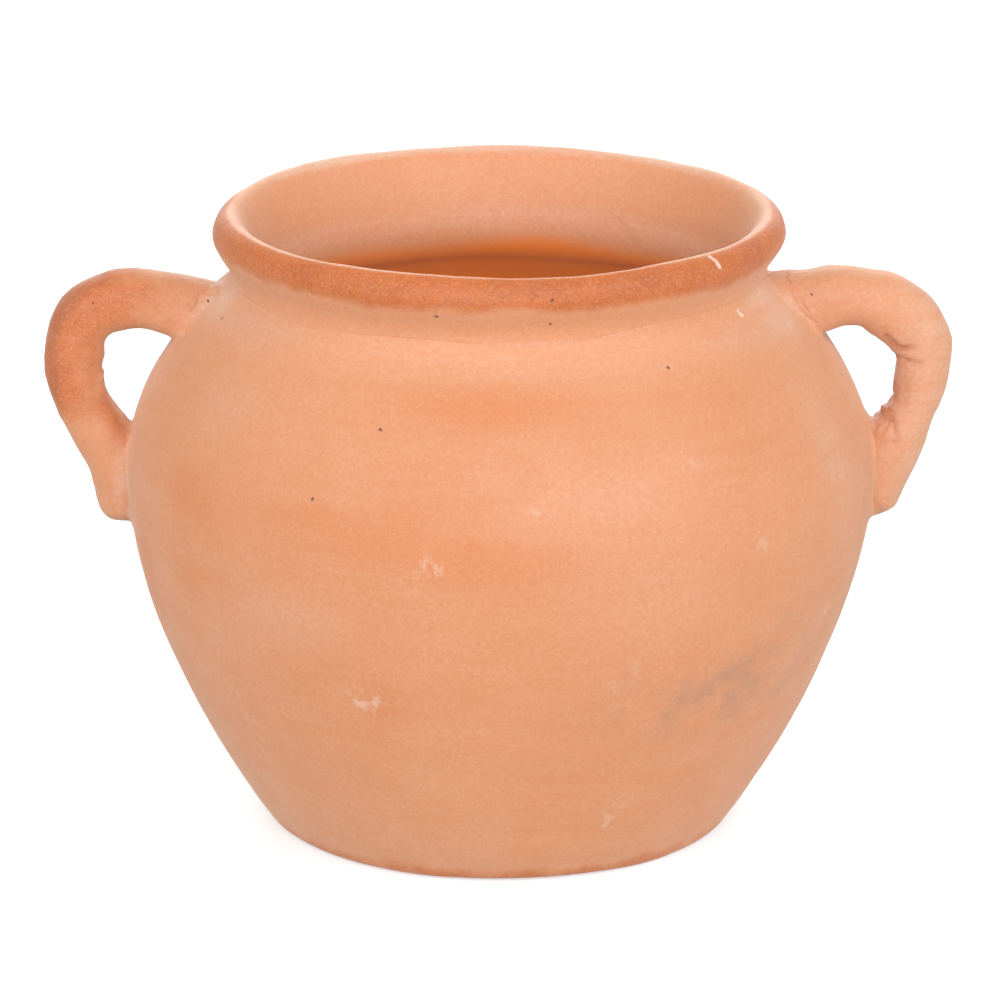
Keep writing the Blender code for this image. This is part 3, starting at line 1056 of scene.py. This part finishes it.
# Places on the wall: degrees from the front, and height in millimetres.
# Pits in the wall, darkened with painted shade.
PITS = spots(
    [
        (10.4, 173.4),
        (10.3, 165.4),
        (-12.4, 168.2),
        (-71.7, 154.0),
        (33, 151.8),
        (-20, 139.2),
        (-29.3, 120),
    ]
)
CHIPS = [
    (wall_spot(60.5, 158.2), wall_spot(60.5, 159.3)),
    (wall_spot(60.2, 158.1), wall_spot(60.9, 158.2)),
    (wall_spot(48.0, 178.6), wall_spot(48.8, 175.8)),
]


def add(piece, slot, *nodes):
    piece.data.materials.append(CLAY[slot])
    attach(piece, "root")
    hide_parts(*nodes)


HANDLE_MARKS = {
    "handle_pits": [upright((place, place)) for place in HANDLE_PITS],
    "folds": [upright(mark) for mark in BEND_FOLDS + ROLL_FOLDS],
    "cracks": [upright(mark) for mark in CRACKS],
}
CLAY = {
    "body_clay": fired_clay("body_clay", PITS, CHIPS),
    "rim_clay": fired_clay("rim_clay", PITS, CHIPS),
    "handle_clay": fired_clay("handle_clay", **HANDLE_MARKS),
    "luting_clay": fired_clay("luting_clay", **HANDLE_MARKS),
}
# Each joint's smeared clay: how far it reaches over the wall, then up the handle, each in millimetres at the
# handle's outer edge, its sides and its inner edge. Last comes its pull at the inner edge.
LUTING = {
    "left_upper": ((0.8, 3.5, 2.0), (3.0, 3.5, 2.5), CORNER_PULL),
    "left_lower": ((1.2, 6.5, 2.0), (1.5, 4.0, 2.0), CORNER_PULL),
    "right_upper": ((2.0, 3.5, 2.0), (3.0, 3.5, 2.5), CORNER_PULL),
    "right_lower": ((1.2, 6.5, 5.0), (1.5, 4.0, 5.5), 0.7),
}
add(make_body(), "body_clay", "body")
add(make_rim(), "rim_clay", "neck_rim")
for side, (surface, flash_and_shade, pale) in {"left": left_handle(), "right": right_handle()}.items():
    add(make_handle("pulled_handle_" + side, surface, flash_and_shade, pale), "handle_clay", "handle_" + side)
    for end in ("upper", "lower"):
        joint = side + "_" + end
        luting = make_luting("smeared_luting_" + joint, surface, end == "upper", *LUTING[joint])
        add(luting, "luting_clay", "luting_" + joint)


# ---- Floor, light and camera ----


FLOOR_REACH = 6.0
FLOOR_GREYS = ((0.82, 0.82, 0.82), (0.84, 0.84, 0.84))
FLOOR_GLOW = 0.50
WORLD_LIGHT = 0.16
# Each lamp: name, degrees about Z from the front, degrees above the floor, softness in degrees, strength.
LAMPS = [
    ("key", 0, 19, 42, 2.50),
    ("right", 50, 26, 40, 1.32),
    ("left", -50, 26, 40, 1.0),
    ("back", 180, 16, 40, 1.8),
]


def make_floor():
    mesh = bpy.data.meshes.new("pale_floor")
    corners = [(x * FLOOR_REACH, y * FLOOR_REACH, 0) for x, y in ((-1, -1), (1, -1), (1, 1), (-1, 1))]
    mesh.from_pydata(corners, [], [(0, 1, 2, 3)])
    floor = bpy.data.objects.new("pale_floor", mesh)
    bpy.context.scene.collection.objects.link(floor)
    material = bpy.data.materials.new("pale_floor")
    graph = Graph(material)
    shade = graph.mix(graph.noise(0.4, 2.0), *FLOOR_GREYS)
    graph.feed(graph.shader.inputs["Base Color"], shade)
    graph.shader.inputs["Roughness"].default_value = 0.9
    # The floor glows a little, as a light table does, so that the pot hardly shades it.
    graph.shader.inputs["Emission Color"].default_value = (1.0, 1.0, 1.0, 1.0)
    graph.shader.inputs["Emission Strength"].default_value = FLOOR_GLOW
    mesh.materials.append(material)
    # The pot gets its light from the lamps and the world, and none comes up to it from the floor.
    floor.visible_diffuse = False


def add_lamp(name, degrees, rise, softness, strength):
    """A large soft lamp far off, at degrees about Z from the front and degrees above the floor."""
    light = bpy.data.lights.new(name, "SUN")
    light.angle = math.radians(softness)
    light.energy = strength
    lamp = bpy.data.objects.new(name, light)
    lamp.rotation_euler = (math.radians(90 - rise), 0, math.radians(degrees))
    bpy.context.scene.collection.objects.link(lamp)


make_floor()
world = bpy.data.worlds.new("studio")
bpy.context.scene.world = world
world.use_nodes = True
background = world.node_tree.nodes["Background"]
background.inputs["Color"].default_value = (1.0, 1.0, 1.0, 1.0)
background.inputs["Strength"].default_value = WORLD_LIGHT
for lamp in LAMPS:
    add_lamp(*lamp)

CAMERA_DISTANCE = 1.85
CAMERA_RISE = math.radians(16.5)
# How much is in view across the frame at the camera's distance, and the height it aims at.
VIEW_WIDTH = 0.2873
AIM_HEIGHT = 0.52 * HEIGHT
SENSOR_WIDTH = 36
CAMERA_SHIFT = 0.0008
aim = Vector((0, 0, AIM_HEIGHT))
camera = bpy.data.objects.new("camera", bpy.data.cameras.new("camera"))
camera.data.sensor_width = SENSOR_WIDTH
camera.data.lens = SENSOR_WIDTH * CAMERA_DISTANCE / VIEW_WIDTH
camera.data.shift_x = CAMERA_SHIFT
camera.location = aim + CAMERA_DISTANCE * Vector((0, -math.cos(CAMERA_RISE), math.sin(CAMERA_RISE)))
camera.rotation_euler = (aim - camera.location).to_track_quat("-Z", "Y").to_euler()
bpy.context.scene.collection.objects.link(camera)
bpy.context.scene.camera = camera
bpy.context.scene.view_settings.view_transform = "Standard"
